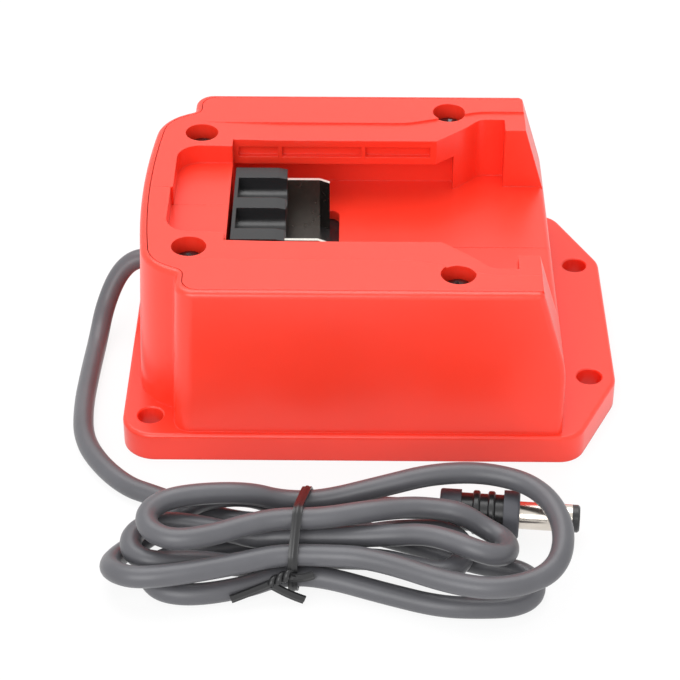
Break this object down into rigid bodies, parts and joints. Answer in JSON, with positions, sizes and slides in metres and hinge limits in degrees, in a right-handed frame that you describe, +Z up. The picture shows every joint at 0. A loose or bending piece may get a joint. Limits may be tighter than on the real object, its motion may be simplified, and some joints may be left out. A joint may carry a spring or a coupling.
{
  "type": "power tool battery dc cable",
  "caption": "Flanged slide-on battery dock with rail channel and blade terminals, and a tied hank of round cable that ends in a barrel plug.",
  "frame": {"origin": "centre of the mounting flange's underside, on the surface that it stands on", "axes": "+X out of the channel's open end, opposite the lead's exit; +Y to the rear, away from the hank; +Z up out of the channel"},
  "size_m": [0.1155, 0.1352, 0.0402],
  "materials": {
    "housing": "glossy moulded plastic, orange red",
    "block": "glossy black moulding",
    "blades": "nickel-plated, smooth",
    "deck_screws": "dark zinc",
    "clamp": "plain moulded grey",
    "clamp_screws": "zinc",
    "cable": "satin grey jacket",
    "wire_positive": "satin red insulation",
    "wire_negative": "satin black insulation",
    "sleeves": "satin black sleeve",
    "tie": "satin black coating",
    "overmould": "fine matt moulded grey",
    "grip_ring": "glossy black, ribbed",
    "barrel": "nickel-plated sleeve",
    "insulator": "black"
  },
  "bodies": {
    "root": {"base_housing": "housing", "blade_negative": "blades", "blade_positive": "blades", "cable_hank": "cable", "cable_inner": "cable", "cable_lead": "cable", "cable_tail": "cable", "clamp_screw_1": "clamp_screws", "clamp_screw_2": "clamp_screws", "cord_clamp": "clamp", "deck_screw_1": "deck_screws", "deck_screw_2": "deck_screws", "deck_screw_3": "deck_screws", "deck_screw_4": "deck_screws", "plug_barrel": "barrel", "plug_centre_contact": "blades", "plug_grip_ring": "grip_ring", "plug_insulator": "insulator", "plug_overmould": "overmould", "rail_half_back": "housing", "rail_half_front": "housing", "sleeve_negative": "sleeves", "sleeve_positive": "sleeves", "terminal_block": "block", "twist_tie": "tie", "wire_negative": "wire_negative", "wire_positive": "wire_positive"}
  },
  "joints": []
}
